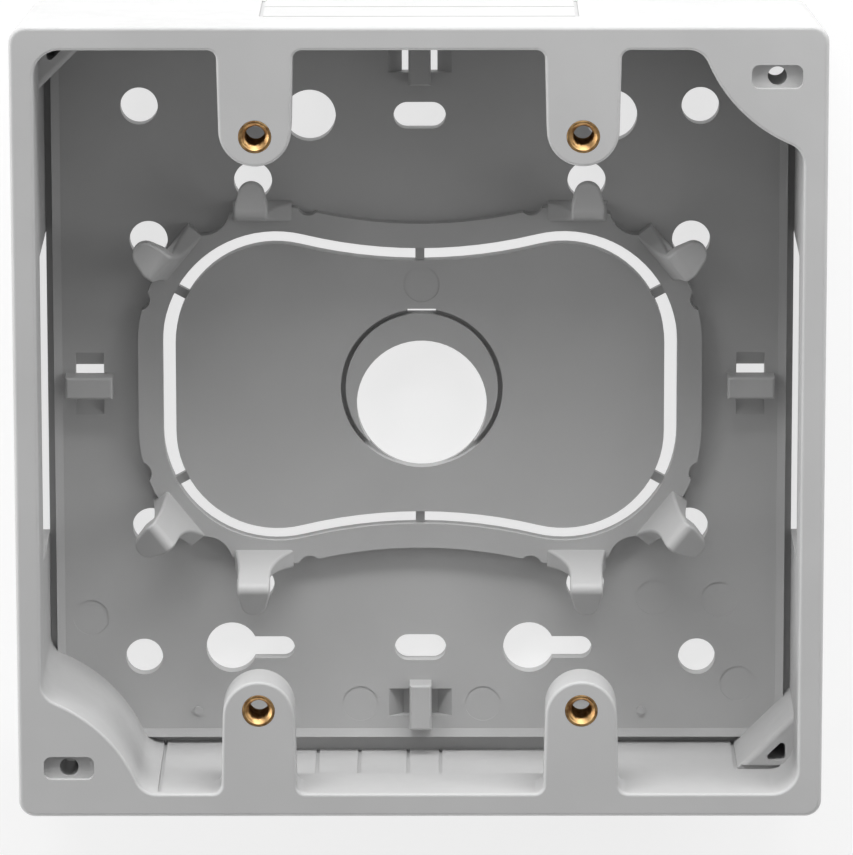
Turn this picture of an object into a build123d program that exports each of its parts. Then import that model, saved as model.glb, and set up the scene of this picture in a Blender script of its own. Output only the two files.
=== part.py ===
from build123d import *
import os
from math import acos, atan2, cos, degrees, hypot, sin, sqrt

# Frame: the box lies on its back. The origin is the centre of the back face, +Z points out of the
# wall towards the room, +Y is up the wall and +X is to the right. All sizes are in millimetres.

# Box
front_size = 114.8         # outer width and height at the front rim
wall_lean = 1.4            # how far each outer wall leans in, from the front to the back
depth = 29.5               # back face to front rim
panel_thickness = 2.3      # back panel
rim_width = 3.45           # front rim, from the outer edge to the cavity
outer_corner_radius = 2.4
cavity_corner_radius = 3.7
rim_outer_round = 0.6
rim_inner_round = 0.45
back_edge_round = 0.4
border_width = 2.2         # low ridge that runs round the edge of the back panel
border_rise = 0.5
border_groove_width = 1.0  # groove between the ridge and the walls
border_groove_depth = 1.3

# Device screw tabs, at the standard spacing for two devices side by side
device_pitch_x = 46.04
device_pitch_y = 83.34
tab_thickness = 7.1
tab_half_width_root = 5.4
tab_half_width_tip = 5.1
tab_overhang = 4.3         # from the screw's axis to the tip of the tab
tab_root_round = 1.3

# Brass inserts, one pressed into each tab flush with the front
insert_diameter = 4.7
insert_length = 6.3
insert_groove_diameter = 4.2
insert_groove_width = 1.1
insert_tap_diameter = 2.8
insert_mouth_diameter = 3.9
insert_mouth_depth = 0.55
screw_clearance_diameter = 3.8

# Full-height corner gussets, top right and bottom left
gusset_reach = 14.2        # along each wall, from the corner of the cavity
gusset_bulge = 2.4         # how far its long curve stands out from the straight line between its ends
gusset_end_round = 3.0
gusset_wall = 1.9          # it is hollow behind, with walls of this thickness
gusset_deck = 1.5          # and this much under its slot
cover_screw_inset = 3.8    # from the cavity's two walls
cover_screw_diameter = 2.7
cover_slot_length = 7.2
cover_slot_width = 3.4
cover_slot_depth = 0.9
cover_slot_round = 1.1
cover_boss_diameter = 6.0  # round the screw hole, behind the deck
cover_boss_length = 7.8    # from the floor of the slot
relief_width = 0.5         # relief grooves where the top and bottom walls meet the gussets and posts
relief_depth = 0.45
gusset_relief = 2.2        # from the end of the gusset to its relief groove
rim_land = 1.3             # left whole between a relief groove and the front rim

# Half-height corner posts, top left and bottom right
post_height = 13.8         # above the back panel
post_leg = 8.1
post_edge_round = 0.9
post_pocket_leg = 3.3
post_pocket_inset = 1.2
post_pocket_depth = 9.0
post_pocket_round = 0.5

# Cable spool: a raised dog-bone platform with a ring of retaining fingers
slit_half_length = 36.2    # centre line of the break-out slit, along X
slit_half_height = 22.0    # its highest points
slit_half_waist = 19.5     # its height at the middle
slit_corner_radius = 15.5
slit_width = 1.85
platform_height = 2.0
platform_margin = 4.5      # from the slit's centre line to the platform's edge
underside_margin = 1.5     # from the slit's centre line to the edge of the hollow in the back
bridge_width = 1.3
bridge_thickness = 1.2
side_bridge_place = (34.2, 13.7)
web_notch_radius = 3.9     # hollow in the platform's edge between each pair of fingers
web_notch_place = (31.2, 26.2)
notch_radius = 1.7
notch_places = ((16.0, 26.9), (40.6, 12.9))

# Retaining fingers, measured from the centre of the opening under each lobe
finger_height = 13.2       # above the back panel, at the crest
finger_width = 4.7
finger_lobe = 1.9          # how far the lobe reaches past the opening's centre
finger_lobe_radius = 1.9   # at its tip
finger_drop = 2.1          # how far the lobe falls from the crest to its tip
finger_thickness = 1.5
finger_crest = 2.9         # crest, inward of the opening's centre
finger_root = 5.6          # inner foot, inward of the opening's centre
finger_flare = 3.2         # how much wider the post is at its foot, on the side nearer the Y axis
finger_small_flare = 0.6   # and on the other side
finger_neck = 4.0          # straight part of the post's sides, below the crest
finger_crest_round = 1.2
finger_taper = 1.4         # the lobe's sides close in from here, inward of the opening's centre
finger_round = 0.4
finger_opening_diameter = 5.5
upright_finger = (24.0, 29.95)
slanted_finger = (39.1, 21.3)

# Round cable knock-out in the middle of the spool
knockout_x = 0.25
knockout_radius = 11.7
knockout_groove_width = 0.7
knockout_groove_depth = 1.5
knockout_y = -0.2
cable_hole_radius = 9.4
cable_hole_y = -2.6
pry_slot_length = 4.1
pry_slot_width = 0.7

# Fixing holes in the back panel
wall_hole_diameter = 5.4
wall_hole_place = (40.3, 40.9)
fixing_row_y = 39.5
obround_length = 7.5
obround_width = 3.9
keyhole_head_diameter = 7.5
keyhole_slot_width = 3.3
keyhole_travel = 7.5
keyhole_heads = (-27.5, 15.8)   # bottom row, each slot running to the right

# Cable tie anchors: a bar over a ramped trough, one at the middle of each side
anchor_inset = 6.15        # from the cavity's wall
anchor_bar_length = 6.8
anchor_bar_width = 3.2
anchor_bar_top = 3.4       # above the back panel
anchor_bar_thickness = 3.8
anchor_round = 0.4
trough_length = 4.1        # along the bar
trough_half_opening = 2.55
trough_half_span = 4.6     # out to the ends of the two ramps
trough_depth = 1.6
trough_floor = 0.6         # left under the bottom anchor, which isn't open to the back

# Raceway break-outs, one in each wall, scored so that a piece of the wall can be snapped out
entry_half_length = 22.3
entry_height = 16.5        # above the back panel
breakout_recess = 1.35     # how far the break-out's face is set back into the wall
breakout_gutter = 1.5      # depth of the gutter at the foot of the top and bottom ones
score_width = 0.5
score_depth = 0.35
score_places = (-15.0, -8.9, -1.8, 2.9)
outer_score_height = 8.2   # lower score line outside, above the back face

# Ejector pin marks on the back panel
pin_mark_radius = 2.6
pin_mark_depth = 0.12
pin_mark_places = ((-48.0, -35.0), (34.0, -32.0), (43.5, -32.3), (46.3, -45.0), (-8.8, -48.0), (9.1, -48.0))
spool_pin_mark = (0.25, 15.1)
pip_radius = 0.6
pip_height = 0.3
pip_places = ((-32.5, -49.0), (32.2, -49.0))

# Sizes that follow from the ones above
cavity_half = front_size / 2 - rim_width
back_size = front_size - 2 * wall_lean
panel_top = panel_thickness
platform_top = panel_top + platform_height
post_top = panel_top + post_height
tab_bottom = depth - tab_thickness
device_x = device_pitch_x / 2
device_y = device_pitch_y / 2
entry_top = panel_top + entry_height
cover_screw_place = cavity_half - cover_screw_inset
anchor_distance = cavity_half - anchor_inset
corners = ((-1, 1), (1, 1), (-1, -1), (1, -1))
beyond = 1.0               # how far a cut runs past the face it opens


def prism(sketch, bottom, top):
    """A flat sketch pulled up between two heights."""
    return extrude(Pos(0, 0, bottom) * sketch, amount=top - bottom)


def block(x_size, y_size, bottom, top, x=0.0, y=0.0):
    """A plain block, centred at x and y."""
    return Pos(x, y, (bottom + top) / 2) * Box(x_size, y_size, top - bottom)


def tapered_shell():
    """The outside of the box, wider at the front than at the back, with its edges rounded."""
    back = RectangleRounded(back_size, back_size, outer_corner_radius)
    front = RectangleRounded(front_size, front_size, outer_corner_radius)
    shell = loft([Plane.XY * back, Pos(0, 0, depth) * front], ruled=True)
    shell = fillet(shell.faces().sort_by(Axis.Z)[-1].edges(), rim_outer_round)
    return fillet(shell.faces().sort_by(Axis.Z)[0].edges(), back_edge_round)


def gusset_plan(wall=0.0):
    """Bowed corner web, top right, made smaller all round by a wall's thickness."""
    near = cavity_half - gusset_reach
    middle = cavity_half - gusset_reach / 2 - gusset_bulge / sqrt(2)
    inside_wall = cavity_half + gusset_wall
    with BuildSketch() as plan:
        with BuildLine():
            ThreePointArc((near, cavity_half), (middle, middle), (cavity_half, near))
            Polyline((cavity_half, near), (inside_wall, near), (inside_wall, inside_wall),
                     (near, inside_wall), (near, cavity_half))
        make_face()
    return offset(plan.sketch, amount=-wall) if wall else plan.sketch


def corner_post():
    """Half-height triangular post, bottom right, with its long top edge rounded."""
    corner = cavity_half + rim_width / 3
    inner = cavity_half - post_leg
    plan = Polygon((inner, -corner), (corner, -corner), (corner, -inner), (cavity_half, -inner),
                   (inner, -cavity_half), align=None)
    post = prism(plan, panel_top / 2, post_top)
    top = post.faces().sort_by(Axis.Z)[-1]
    long_edge = top.edges().filter_by(lambda e: abs((e % 0.5).X * (e % 0.5).Y) > 0.1)
    return fillet(long_edge, post_edge_round)


def tab_plan():
    """One screw tab, top right: straight sides that narrow to a round tip."""
    tip_centre = device_y - tab_overhang + tab_half_width_tip
    root = cavity_half + rim_width / 3
    sides = Polygon((device_x - tab_half_width_root, root), (device_x + tab_half_width_root, root),
                    (device_x + tab_half_width_tip, tip_centre),
                    (device_x - tab_half_width_tip, tip_centre), align=None)
    return sides + Pos(device_x, tip_centre) * Circle(tab_half_width_tip)


def mirrored(shape, x_sign, y_sign):
    """The shape that stands in the top right quarter, moved to another quarter."""
    if x_sign < 0:
        shape = mirror(shape, about=Plane.YZ)
    if y_sign < 0:
        shape = mirror(shape, about=Plane.XZ)
    return shape


def cavity():
    """The space that the walls, gussets and tabs leave open to the front."""
    size = 2 * cavity_half
    ridge_size = size - 2 * border_groove_width
    floor_size = size - 2 * border_width
    square = RectangleRounded(size, size, cavity_corner_radius)
    gusset = gusset_plan()
    plan = square - gusset - Rot(0, 0, 180) * gusset
    near = cavity_half - gusset_reach
    ends = [v for v in plan.vertices() if abs(min(abs(v.X), abs(v.Y)) - near) < 1e-3]
    plan = fillet(ends, gusset_end_round)
    tabs = [mirrored(tab_plan(), *quarter) for quarter in corners]
    top_plan = plan - tabs
    roots = [v for v in top_plan.vertices()
             if abs(abs(v.Y) - cavity_half) < 1e-3 and abs(abs(v.X) - device_x) < 1.2 * tab_half_width_root]
    top_plan = fillet(roots, tab_root_round)
    border_top = panel_top + border_rise
    ramp = loft([Pos(0, 0, panel_top) * RectangleRounded(floor_size, floor_size, cavity_corner_radius),
                 Pos(0, 0, border_top) * RectangleRounded(ridge_size, ridge_size, cavity_corner_radius)],
                ruled=True)
    groove = prism(square - RectangleRounded(ridge_size, ridge_size, cavity_corner_radius),
                   panel_top - border_groove_depth, border_top)
    foot = (ramp + groove) & prism(plan, panel_top - border_groove_depth, border_top)
    space = foot + prism(plan, border_top, tab_bottom)
    return space + prism(top_plan, tab_bottom, depth + beyond)


def dog_bone(offset):
    """Plan of the dog-bone outline, moved outward from the slit's centre line by the offset."""
    corner_x = slit_half_length - slit_corner_radius
    corner_y = slit_half_height - slit_corner_radius
    dip = slit_half_height - slit_half_waist
    both_radii = (corner_x ** 2 + dip ** 2) / (2 * dip)
    waist_radius = both_radii - slit_corner_radius
    waist_y = slit_half_waist + waist_radius
    turn = degrees(atan2(waist_y - corner_y, -corner_x))
    side = slit_half_length + offset
    with BuildSketch() as plan:
        with BuildLine():
            Line((side, 0), (side, corner_y))
            CenterArc((corner_x, corner_y), slit_corner_radius + offset, 0, turn)
            CenterArc((0, waist_y), waist_radius - offset, 270, turn - 90)
            mirror(about=Plane.YZ)
            mirror(about=Plane.XZ)
        make_face()
    return plan.sketch


def platform():
    """The raised dog-bone on which cable is coiled."""
    return prism(dog_bone(platform_margin), panel_top, platform_top)


def break_out_slit():
    """The slit round the middle of the platform, crossed by six thin bridges."""
    ring = dog_bone(slit_width / 2) - dog_bone(-slit_width / 2)
    slit = prism(ring, -beyond, platform_top + beyond)
    bridge_bottom = platform_height
    bridge_top = bridge_bottom + bridge_thickness
    reach = 2 * slit_width
    for sign in (-1, 1):
        slit -= block(bridge_width, reach, bridge_bottom, bridge_top, 0, sign * slit_half_waist)
    x, y = side_bridge_place
    lean = degrees(atan2(y - slit_half_height + slit_corner_radius,
                         x - slit_half_length + slit_corner_radius))
    bridge = Pos(x, y, 0) * Rot(0, 0, lean) * block(reach, bridge_width, bridge_bottom, bridge_top)
    for quarter in corners:
        slit -= mirrored(bridge, *quarter)
    return slit


def cable_knockout():
    """The open cable hole, the groove that lets the hole be enlarged, and its pry slot."""
    groove = Circle(knockout_radius) - Circle(knockout_radius - knockout_groove_width)
    groove = prism(groove, platform_top - knockout_groove_depth, platform_top + beyond)
    cut = Pos(knockout_x, knockout_y, 0) * groove
    cut += prism(Pos(knockout_x, cable_hole_y) * Circle(cable_hole_radius), -beyond, platform_top + beyond)
    pry_y = knockout_y + knockout_radius - knockout_groove_width / 2
    return cut + block(pry_slot_length, pry_slot_width, -beyond, platform_top + beyond, knockout_x, pry_y)


def finger_plan(half):
    """Plan of a finger's lobe: sides that close in and run smoothly into a round tip."""
    centre = finger_lobe - finger_lobe_radius
    reach = hypot(half, centre + finger_taper)
    turn = atan2(-finger_taper - centre, half) + acos(finger_lobe_radius / reach)
    x, y = finger_lobe_radius * cos(turn), centre + finger_lobe_radius * sin(turn)
    sides = Polygon((-half, -finger_root), (half, -finger_root), (half, -finger_taper), (x, y), (-x, y),
                    (-half, -finger_taper), align=None)
    lobe = sides + Pos(0, centre) * Circle(finger_lobe_radius)
    starts = [v for v in lobe.vertices() if abs(v.Y + finger_taper) < 1e-6]
    return fillet(starts, finger_taper)


def finger():
    """One retaining finger: a flared post whose rounded lobe overhangs the panel along +Y."""
    half = finger_width / 2
    bottom = panel_top - border_rise
    crest = panel_top + finger_height
    tip = crest - finger_drop
    neck = crest - finger_neck
    wide = half + finger_flare
    narrow = half + finger_small_flare
    side_view = Polygon((-finger_root, bottom), (-finger_crest, bottom), (-finger_crest, tip - finger_thickness),
                        (finger_lobe, tip - finger_thickness), (finger_lobe, tip),
                        (-finger_crest, crest), (-finger_root, platform_top), align=None)
    side_view = fillet(side_view.vertices().sort_by(Axis.Y)[-1], finger_crest_round)
    with BuildSketch() as front_view:
        with BuildLine():
            TangentArc((half, neck), (wide, platform_top), tangent=(0, -1))
            TangentArc((-half, neck), (-narrow, platform_top), tangent=(0, -1))
            Polyline((wide, platform_top), (wide, bottom), (-narrow, bottom), (-narrow, platform_top))
            Polyline((-half, neck), (-half, crest + beyond), (half, crest + beyond), (half, neck))
        make_face()
    post = Pos((wide - narrow) / 2, -(finger_crest + finger_root) / 2) * Rectangle(
        wide + narrow, finger_root - finger_crest)
    profile = extrude(Plane.YZ.offset(-2 * wide) * side_view, amount=4 * wide)
    front = extrude(Plane.XZ.offset(-2 * finger_root) * front_view.sketch, amount=4 * finger_root)
    body = profile & front & prism(post + finger_plan(half), bottom, crest + beyond)
    upper = body.faces().filter_by(lambda f: f.normal_at().Z > 0.1 and f.center().Z > platform_top + beyond)
    lip = {edge for face in upper for edge in face.edges() if edge.center().Z > platform_top + finger_round}
    return fillet(lip, finger_round)


def finger_places():
    """Where each finger of the top right quarter stands, and how it is turned."""
    corner_x = slit_half_length - slit_corner_radius
    corner_y = slit_half_height - slit_corner_radius
    slant_x, slant_y = slanted_finger
    slant = degrees(atan2(slant_y - corner_y, slant_x - corner_x)) - 90
    return ((upright_finger, 0.0), (slanted_finger, slant))


def fingers():
    """All eight fingers, mirrored from the top right quarter."""
    flared_inward = mirror(finger(), about=Plane.YZ)
    solids = []
    for (x, y), turn in finger_places():
        placed = Pos(x, y, 0) * Rot(0, 0, turn) * flared_inward
        solids += [mirrored(placed, *quarter) for quarter in corners]
    return solids


def finger_openings():
    """The round openings in the panel under the fingers' lobes."""
    hole = Circle(finger_opening_diameter / 2)
    holes = [Pos(sx * x, sy * y) * hole for (x, y), _ in finger_places() for sx, sy in corners]
    return [prism(h, -beyond, platform_top + beyond) for h in holes]


def spool_notches():
    """Hollows in the platform's edge between and beside the fingers."""
    web_x, web_y = web_notch_place
    plans = [Pos(web_x, web_y) * Circle(web_notch_radius)]
    plans += [Pos(x, y) * Circle(notch_radius) for x, y in notch_places]
    return [mirrored(prism(plan, panel_top, platform_top + beyond), *quarter)
            for plan in plans for quarter in corners]


def keyhole(head_x, y, direction):
    """A keyhole: a round head with a slot that runs left or right from it."""
    slot_end = head_x + direction * keyhole_travel
    slot = Pos((head_x + slot_end) / 2, y) * Rectangle(abs(slot_end - head_x), keyhole_slot_width)
    slot += Pos(slot_end, y) * Circle(keyhole_slot_width / 2)
    return slot + Pos(head_x, y) * Circle(keyhole_head_diameter / 2)


def fixing_holes():
    """Round holes, obrounds and keyholes in the back panel."""
    wall_x, wall_y = wall_hole_place
    plans = [Pos(sx * wall_x, sy * wall_y) * Circle(wall_hole_diameter / 2) for sx, sy in corners]
    for sign in (-1, 1):
        plans.append(Pos(0, sign * fixing_row_y) * SlotOverall(obround_length, obround_width))
        for head in keyhole_heads:
            plans.append(keyhole(-sign * head, sign * fixing_row_y, -sign))
    return [prism(plan, -beyond, platform_top) for plan in plans]


def anchor_bar():
    """The bar of a cable tie anchor, lying along X, with its top edges rounded."""
    bar = block(anchor_bar_length, anchor_bar_width, panel_top - border_rise, panel_top + anchor_bar_top)
    return fillet(bar.faces().sort_by(Axis.Z)[-1].edges(), anchor_round)


def anchor_trough(bottom):
    """The space under the bar: an opening with a ramp on each side, across the bar."""
    roof = panel_top + anchor_bar_top - anchor_bar_thickness
    well = block(trough_length, 2 * trough_half_opening, bottom, roof)
    ramps = Polygon((-trough_half_span, panel_top), (-trough_half_opening, panel_top - trough_depth),
                    (trough_half_opening, panel_top - trough_depth), (trough_half_span, panel_top),
                    align=None)
    ramp = extrude(Plane.YZ * ramps, amount=trough_length / 2, both=True)
    return well + ramp


def anchor_places():
    """The four places for a cable tie anchor, with the bar pointing at the middle of the box."""
    return [Rot(0, 0, turn) * Pos(anchor_distance, 0, 0) for turn in (0, 90, 180, 270)]


def wall_break_out(foot):
    """The recess and score lines inside the top wall, from the foot of the break-out up."""
    length = 2 * entry_half_length
    face_y = cavity_half + breakout_recess
    recess = block(length, breakout_recess, foot, entry_top, 0, cavity_half + breakout_recess / 2)
    for place in score_places:
        recess += block(score_width, 2 * score_depth, foot, entry_top, -place, face_y)
    return recess


def break_outs():
    """All four break-outs. The side ones have an open slot at the foot, the others a blind gutter."""
    blind = wall_break_out(panel_top - breakout_gutter)
    through = wall_break_out(-beyond)
    return [blind, Rot(0, 0, 180) * blind, Rot(0, 0, 90) * through, Rot(0, 0, -90) * through]


def outer_scores():
    """Shallow score lines outside, round each break-out."""
    lean = degrees(atan2(wall_lean, depth))
    lines = []
    for height in (outer_score_height, entry_top):
        wall = front_size / 2 - wall_lean * (1 - height / depth)
        lines.append(Pos(0, wall, height) * Box(2 * entry_half_length, 2 * score_depth, score_width))
    middle = entry_top / 2
    wall = front_size / 2 - wall_lean * (1 - middle / depth)
    for side in (-1, 1):
        lines.append(Pos(side * entry_half_length, wall, middle) * Rot(-lean, 0, 0)
                     * Box(score_width, 2 * score_depth, entry_top))
    return [Rot(0, 0, turn) * line for turn in (0, 90, 180, 270) for line in lines]


def gusset_hollows():
    """The hollow behind each gusset, and its slotted recess with a screw hole into the hollow."""
    slot_floor = depth - cover_slot_depth
    boss_bottom = slot_floor - cover_boss_length
    place = Pos(cover_screw_place, cover_screw_place, 0)
    cut = prism(gusset_plan(gusset_wall), -beyond, slot_floor - gusset_deck)
    cut -= place * prism(Circle(cover_boss_diameter / 2), boss_bottom, depth)
    seat = prism(RectangleRounded(cover_slot_length, cover_slot_width, cover_slot_round),
                 slot_floor, depth + beyond)
    seat += prism(Circle(cover_screw_diameter / 2), boss_bottom - beyond, depth)
    cut += place * seat
    return [cut, Rot(0, 0, 180) * cut]


def relief_grooves():
    """Narrow grooves where the bottom wall meets the gusset and the post, and the same at the top."""
    foot = panel_top - border_groove_depth
    gusset_side = relief_width / 2 - (cavity_half - gusset_reach - gusset_relief)
    post_side = cavity_half - post_leg - relief_width / 2
    depth_both_ways = 2 * relief_depth
    lines = block(relief_width, depth_both_ways, foot, depth - rim_land, gusset_side, -cavity_half)
    lines += block(relief_width, depth_both_ways, foot, post_top, post_side, -cavity_half)
    lines += block(post_leg - post_pocket_inset, depth_both_ways, post_top - relief_depth,
                   post_top + relief_width, cavity_half - (post_leg + post_pocket_inset) / 2, -cavity_half)
    return [lines, Rot(0, 0, 180) * lines]


def pin_marks():
    """Shallow round marks that the ejector pins leave."""
    mark = prism(Circle(pin_mark_radius), -pin_mark_depth, beyond)
    marks = [Pos(x, y, panel_top) * mark for x, y in pin_mark_places]
    return marks + [Pos(*spool_pin_mark, platform_top) * mark]


def post_pockets():
    """The small three-cornered pocket in the top of each corner post."""
    inner = cavity_half - post_pocket_inset
    pocket = Polygon((inner - post_pocket_leg, -inner), (inner, -inner), (inner, -inner + post_pocket_leg),
                     align=None)
    pocket = fillet(pocket.vertices(), post_pocket_round)
    pocket = prism(pocket, post_top - post_pocket_depth, post_top + beyond)
    return [pocket, Rot(0, 0, 180) * pocket]


def insert_bores():
    """The stepped bore for the insert and its screw, in each tab."""
    bore = prism(Circle(insert_diameter / 2), depth - insert_length, depth + beyond)
    bore += prism(Circle(screw_clearance_diameter / 2), tab_bottom - beyond, depth)
    return [Pos(sx * device_x, sy * device_y, 0) * bore for sx, sy in corners]


def rounded_rim(box):
    """The front rim's inner edge, rounded round the cavity, tabs and gussets."""
    front = box.faces().filter_by(Plane.XY).sort_by(Axis.Z)[-1]
    inner = [wire for wire in front.inner_wires() if wire.length > 4 * cavity_half]
    return fillet([edge for wire in inner for edge in wire.edges()], rim_inner_round)


def mounting_box():
    """The whole moulding, which is one piece."""
    box = rounded_rim(tapered_shell() - cavity())
    post = corner_post()
    box += [post, Rot(0, 0, 180) * post]
    box += platform()
    box -= spool_notches()
    box += fingers()
    box += [prism(Pos(x, y) * Circle(pip_radius), panel_top / 2, panel_top + pip_height)
            for x, y in pip_places]
    box -= prism(dog_bone(underside_margin), -beyond, platform_height)
    box -= break_out_slit()
    box -= cable_knockout()
    box -= finger_openings()
    box -= fixing_holes()
    for index, place in enumerate(anchor_places()):
        bottom = trough_floor if index == 3 else -beyond
        box += place * anchor_bar()
        box -= place * anchor_trough(bottom)
    for cuts in (break_outs(), outer_scores(), gusset_hollows(), relief_grooves(), post_pockets(),
                 pin_marks(), insert_bores()):
        box -= cuts
    return box


def brass_insert():
    """One insert: two gripping bands with a groove between, and a tapped hole with a wide mouth."""
    length = insert_length
    barrel = prism(Circle(insert_diameter / 2), depth - length, depth)
    groove = Circle(insert_diameter) - Circle(insert_groove_diameter / 2)
    middle = depth - length / 2
    barrel -= prism(groove, middle - insert_groove_width / 2, middle + insert_groove_width / 2)
    barrel -= prism(Circle(insert_tap_diameter / 2), depth - length - beyond, depth + beyond)
    mouth = Cone(insert_tap_diameter / 2, insert_mouth_diameter / 2, insert_mouth_depth)
    return barrel - Pos(0, 0, depth - insert_mouth_depth / 2) * mouth


def main():
    os.makedirs("parts", exist_ok=True)
    export_step(mounting_box(), "parts/mounting_box.step")
    side_names = {-1: "left", 1: "right"}
    row_names = {-1: "bottom", 1: "top"}
    for sx, sy in corners:
        placed = Pos(sx * device_x, sy * device_y, 0) * brass_insert()
        export_step(placed, f"parts/insert_{row_names[sy]}_{side_names[sx]}.step")


main()
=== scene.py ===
from math import cos, radians, sin, tau

import bmesh
import bpy
from mathutils import Matrix, Vector


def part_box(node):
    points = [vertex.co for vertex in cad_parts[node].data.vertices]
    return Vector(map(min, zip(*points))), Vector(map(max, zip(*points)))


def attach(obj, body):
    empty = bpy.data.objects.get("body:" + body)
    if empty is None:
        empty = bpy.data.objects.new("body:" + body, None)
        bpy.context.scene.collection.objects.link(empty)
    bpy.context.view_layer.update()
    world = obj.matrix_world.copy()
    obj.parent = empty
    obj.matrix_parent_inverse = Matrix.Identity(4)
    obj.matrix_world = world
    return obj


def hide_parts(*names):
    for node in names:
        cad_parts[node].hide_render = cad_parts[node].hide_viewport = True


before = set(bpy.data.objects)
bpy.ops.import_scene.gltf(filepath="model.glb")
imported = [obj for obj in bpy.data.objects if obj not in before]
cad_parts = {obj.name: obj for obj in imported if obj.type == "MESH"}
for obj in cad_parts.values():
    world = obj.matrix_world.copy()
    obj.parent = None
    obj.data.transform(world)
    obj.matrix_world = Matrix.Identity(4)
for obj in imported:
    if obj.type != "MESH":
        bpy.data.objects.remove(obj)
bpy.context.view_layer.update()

MM = 0.001
scene = bpy.context.scene

# Camera, found from the corners of the rim, the inserts and the holes in the back panel
camera_place = Vector((4.1, 245.8, 1071.8)) * MM
camera_target = Vector((1.0, -0.14, 29.5)) * MM
camera_roll = radians(-0.08)
lens_pixels = 7579.0
image_height = 855.0
sensor_size = 36.0
clip_near = 0.01
clip_far = 20.0

# Light: a ring of low soft boxes, strongest beyond the top wall, a small lamp above the right wall
# and a weak even sky. Each light has its azimuth and elevation in degrees, its distance, width and
# height in metres, and its power in watts.
world_level = 0.2
soft_boxes = {
    "back_light": (90.0, 21.9, 0.9, 0.9, 0.30, 8.0),
    "right_light": (35.0, 20.0, 0.9, 0.7, 0.2, 2.0),
    "left_light": (145.0, 32.0, 0.9, 0.7, 0.25, 1.35),
    "far_left_light": (180.0, 10.0, 0.9, 0.5, 0.2, 4.4),
    "front_light": (270.0, 8.0, 0.9, 1.2, 0.15, 4.5),
    "edge_light": (90.0, 4.0, 0.9, 0.9, 0.12, 2.0),
    "lamp": (10.0, 40.0, 0.25, 0.12, 0.12, 0.07),
}

# Table top, in metres
table_radius = 4.0
table_sides = 64
table_grey = 0.30
table_glow = 0.70
table_roughness = 0.9
white = (1, 1, 1, 1)

# Surfaces. A ramp stop is a place from 0 to 1 and its colour. A noise is its scale per metre and its
# detail, and a bump is its depth in metres and its strength.
noise_low = 0.3
noise_high = 0.7
plastic_stops = ((0.35, (0.49, 0.49, 0.49, 1)), (0.65, (0.515, 0.515, 0.515, 1)))
plastic_roughness = (0.44, 0.56)
plastic_specular = 0.42
mottling_noise = (60.0, 3.0)
sheen_noise = (400.0, 4.0)
grain_noise = (5200.0, 2.0)
grain_noise_roughness = 0.6
grain_bump = (0.00003, 0.35)
sink_noise = (90.0, 1.0)
sink_bump = (0.0002, 0.12)
brass_stops = ((0.32, (0.30, 0.165, 0.07, 1)), (0.62, (0.60, 0.39, 0.175, 1)))
brass_roughness = (0.38, 0.56)
tarnish_noise = (900.0, 4.0)
wear_noise = (1800.0, 3.0)
lathe_noise = (9000.0, 2.0)
lathe_bump = (0.00002, 0.4)

# Brass inserts, each with a real thread
insert_names = ("insert_top_left", "insert_top_right", "insert_bottom_left", "insert_bottom_right")
thread_pitch = 0.794 * MM
thread_minor_radius = 1.4 * MM
thread_major_radius = 1.75 * MM
flank_slope = 1.25
flank_start = 0.125
mouth_radius = 1.95 * MM
mouth_depth = 0.55 * MM
groove_radius = 2.1 * MM
groove_half_width = 0.55 * MM
insert_chamfer = 0.12 * MM
insert_segments = 48
rows_per_pitch = 10
sharp_angle = radians(38)


def new_material(name):
    """A new node material with its nodes, links and shader."""
    material = bpy.data.materials.new(name)
    material.use_nodes = True
    nodes, links = material.node_tree.nodes, material.node_tree.links
    return material, nodes, links, nodes["Principled BSDF"]


def object_point(nodes):
    """The socket that gives a place on the object in metres."""
    return nodes.new("ShaderNodeTexCoord").outputs["Object"]


def noise(nodes, links, point, scale, detail, roughness=0.5):
    """A noise texture in the object's own space."""
    texture = nodes.new("ShaderNodeTexNoise")
    texture.inputs["Scale"].default_value = scale
    texture.inputs["Detail"].default_value = detail
    texture.inputs["Roughness"].default_value = roughness
    links.new(point, texture.inputs["Vector"])
    return texture.outputs["Fac"]


def two_colours(nodes, links, value, stops):
    """A colour between two stops, by a texture."""
    ramp = nodes.new("ShaderNodeValToRGB")
    for element, (position, colour) in zip(ramp.color_ramp.elements, stops):
        element.position = position
        element.color = colour
    links.new(value, ramp.inputs["Fac"])
    return ramp.outputs["Color"]


def ranged(nodes, links, value, low, high):
    """A texture's middle range, spread between two values."""
    spread = nodes.new("ShaderNodeMapRange")
    spread.inputs["From Min"].default_value = noise_low
    spread.inputs["From Max"].default_value = noise_high
    spread.inputs["To Min"].default_value = low
    spread.inputs["To Max"].default_value = high
    links.new(value, spread.inputs["Value"])
    return spread.outputs["Result"]


def bump(nodes, links, height, distance, strength, normal=None):
    """A bump of a given depth in metres, laid over another one if given."""
    node = nodes.new("ShaderNodeBump")
    node.inputs["Distance"].default_value = distance
    node.inputs["Strength"].default_value = strength
    links.new(height, node.inputs["Height"])
    if normal is not None:
        links.new(normal, node.inputs["Normal"])
    return node.outputs["Normal"]


def box_plastic():
    """Moulded plastic: fine spark-eroded grain, faint flow mottling and a soft sheen."""
    material, nodes, links, shader = new_material("box_plastic")
    point = object_point(nodes)
    mottling = noise(nodes, links, point, *mottling_noise)
    links.new(two_colours(nodes, links, mottling, plastic_stops), shader.inputs["Base Color"])
    sheen = noise(nodes, links, point, *sheen_noise)
    links.new(ranged(nodes, links, sheen, *plastic_roughness), shader.inputs["Roughness"])
    grain = noise(nodes, links, point, *grain_noise, grain_noise_roughness)
    grained = bump(nodes, links, grain, *grain_bump)
    sink = noise(nodes, links, point, *sink_noise)
    links.new(bump(nodes, links, sink, *sink_bump, grained), shader.inputs["Normal"])
    shader.inputs["Specular IOR Level"].default_value = plastic_specular
    return material


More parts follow.
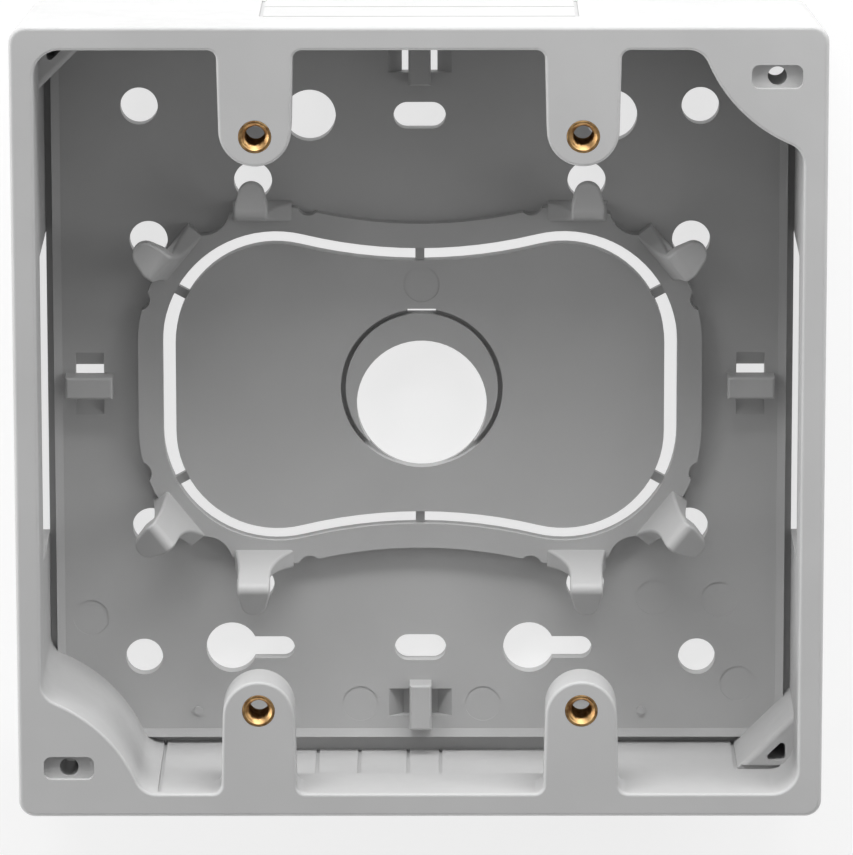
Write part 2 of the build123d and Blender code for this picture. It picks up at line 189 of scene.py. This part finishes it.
def insert_brass():
    """Turned brass: warm metal with fine tool marks and a little tarnish."""
    material, nodes, links, shader = new_material("insert_brass")
    point = object_point(nodes)
    tarnish = noise(nodes, links, point, *tarnish_noise)
    links.new(two_colours(nodes, links, tarnish, brass_stops), shader.inputs["Base Color"])
    wear = noise(nodes, links, point, *wear_noise)
    links.new(ranged(nodes, links, wear, *brass_roughness), shader.inputs["Roughness"])
    lathe_marks = noise(nodes, links, point, *lathe_noise)
    links.new(bump(nodes, links, lathe_marks, *lathe_bump), shader.inputs["Normal"])
    shader.inputs["Metallic"].default_value = 1.0
    return material


def table_material():
    """The light table: an even pale sheet, lit softly from inside."""
    material, nodes, links, shader = new_material("table")
    shader.inputs["Base Color"].default_value = (table_grey, table_grey, table_grey, 1)
    shader.inputs["Roughness"].default_value = table_roughness
    shader.inputs["Emission Color"].default_value = white
    shader.inputs["Emission Strength"].default_value = table_glow
    return material


def dress(node_name, material):
    """The material goes on every slot of a CAD node."""
    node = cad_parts[node_name]
    if not node.data.materials:
        node.data.materials.append(material)
    for slot in node.material_slots:
        slot.material = material


def mesh_piece(name, mesh_builder, material):
    """A new object made from a bmesh, with its material."""
    mesh = bpy.data.meshes.new(name)
    mesh_builder.to_mesh(mesh)
    mesh_builder.free()
    mesh.materials.append(material)
    piece = bpy.data.objects.new(name, mesh)
    scene.collection.objects.link(piece)
    return piece


def thread_radius(angle, rise):
    """Radius of the tapped hole at a turn about its axis and a height above the insert's foot."""
    phase = (rise / thread_pitch - angle / tau) % 1.0
    flank = min(max(flank_slope * abs(2 * phase - 1) - flank_start, 0.0), 1.0)
    return thread_minor_radius + flank * (thread_major_radius - thread_minor_radius)


def threaded_insert(node_name, material):
    """A turned insert with two gripping bands, a countersunk mouth and a helical thread."""
    low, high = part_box(node_name)
    centre_x, centre_y = (low[0] + high[0]) / 2, (low[1] + high[1]) / 2
    outer_radius = (high[0] - low[0]) / 2
    bottom, top = low[2], high[2]
    middle = (bottom + top) / 2
    angles = [tau * i / insert_segments for i in range(insert_segments)]
    row_count = round((top - bottom) / thread_pitch * rows_per_pitch)
    builder = bmesh.new()
    rings = []

    def ring(radii, height):
        places = [(centre_x + radius * cos(angle), centre_y + radius * sin(angle), height)
                  for radius, angle in zip(radii, angles)]
        rings.append([builder.verts.new(place) for place in places])

    for row in range(row_count + 1):
        height = bottom + (top - bottom) * row / row_count
        cone = mouth_radius - (mouth_radius - thread_minor_radius) * (top - height) / mouth_depth
        ring([max(thread_radius(angle, height - bottom), cone) for angle in angles], height)
    outside = ((outer_radius - insert_chamfer, top), (outer_radius, top - insert_chamfer),
               (outer_radius, middle + groove_half_width), (groove_radius, middle + groove_half_width),
               (groove_radius, middle - groove_half_width), (outer_radius, middle - groove_half_width),
               (outer_radius, bottom + insert_chamfer), (outer_radius - insert_chamfer, bottom))
    for radius, height in outside:
        ring([radius] * insert_segments, height)
    for near, far in zip(rings, rings[1:] + rings[:1]):
        for i in range(insert_segments):
            j = (i + 1) % insert_segments
            builder.faces.new((near[j], near[i], far[i], far[j]))
    bmesh.ops.recalc_face_normals(builder, faces=builder.faces)
    piece = mesh_piece(node_name + "_thread", builder, material)
    piece.data.shade_smooth()
    piece.data.set_sharp_from_angle(angle=sharp_angle)
    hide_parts(node_name)
    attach(piece, "root")


def floor():
    """A wide round table top under the box."""
    builder = bmesh.new()
    bmesh.ops.create_circle(builder, cap_ends=True, radius=table_radius, segments=table_sides)
    table = mesh_piece("table", builder, table_material())


def soft_box(name, azimuth, elevation, distance, width, height, power):
    """A rectangular soft light aimed at the box. Azimuth 0 is +X and 90 is +Y."""
    data = bpy.data.lights.new(name, "AREA")
    data.shape = "RECTANGLE"
    data.size = width
    data.size_y = height
    data.energy = power
    light = bpy.data.objects.new(name, data)
    turn, lift = radians(azimuth), radians(elevation)
    place = Vector((cos(turn) * cos(lift), sin(turn) * cos(lift), sin(lift))) * distance
    light.location = place
    light.rotation_euler = place.to_track_quat("Z", "Y").to_euler()
    scene.collection.objects.link(light)


def lights():
    """The soft boxes, the lamp and the sky, with colours shown as they are."""
    for name, measures in soft_boxes.items():
        soft_box(name, *measures)
    world = bpy.data.worlds.new("studio")
    world.use_nodes = True
    background = world.node_tree.nodes["Background"]
    background.inputs["Color"].default_value = white
    background.inputs["Strength"].default_value = world_level
    scene.world = world
    scene.view_settings.view_transform = "Standard"
    scene.view_settings.look = "None"


def camera():
    """The camera at the photograph's viewing angle."""
    data = bpy.data.cameras.new("camera")
    data.sensor_width = sensor_size
    data.sensor_height = sensor_size
    data.lens = lens_pixels / image_height * sensor_size
    data.clip_start = clip_near
    data.clip_end = clip_far
    view = bpy.data.objects.new("camera", data)
    back = (camera_place - camera_target).normalized()
    right = Vector((0, 1, 0)).cross(back).normalized()
    up = back.cross(right)
    turned = Matrix((right, up, back)).transposed().to_4x4() @ Matrix.Rotation(camera_roll, 4, "Z")
    view.matrix_world = Matrix.Translation(camera_place) @ turned
    scene.collection.objects.link(view)
    scene.camera = view


plastic = box_plastic()
brass = insert_brass()
dress("mounting_box", plastic)
for insert_name in insert_names:
    threaded_insert(insert_name, brass)
floor()
lights()
camera()
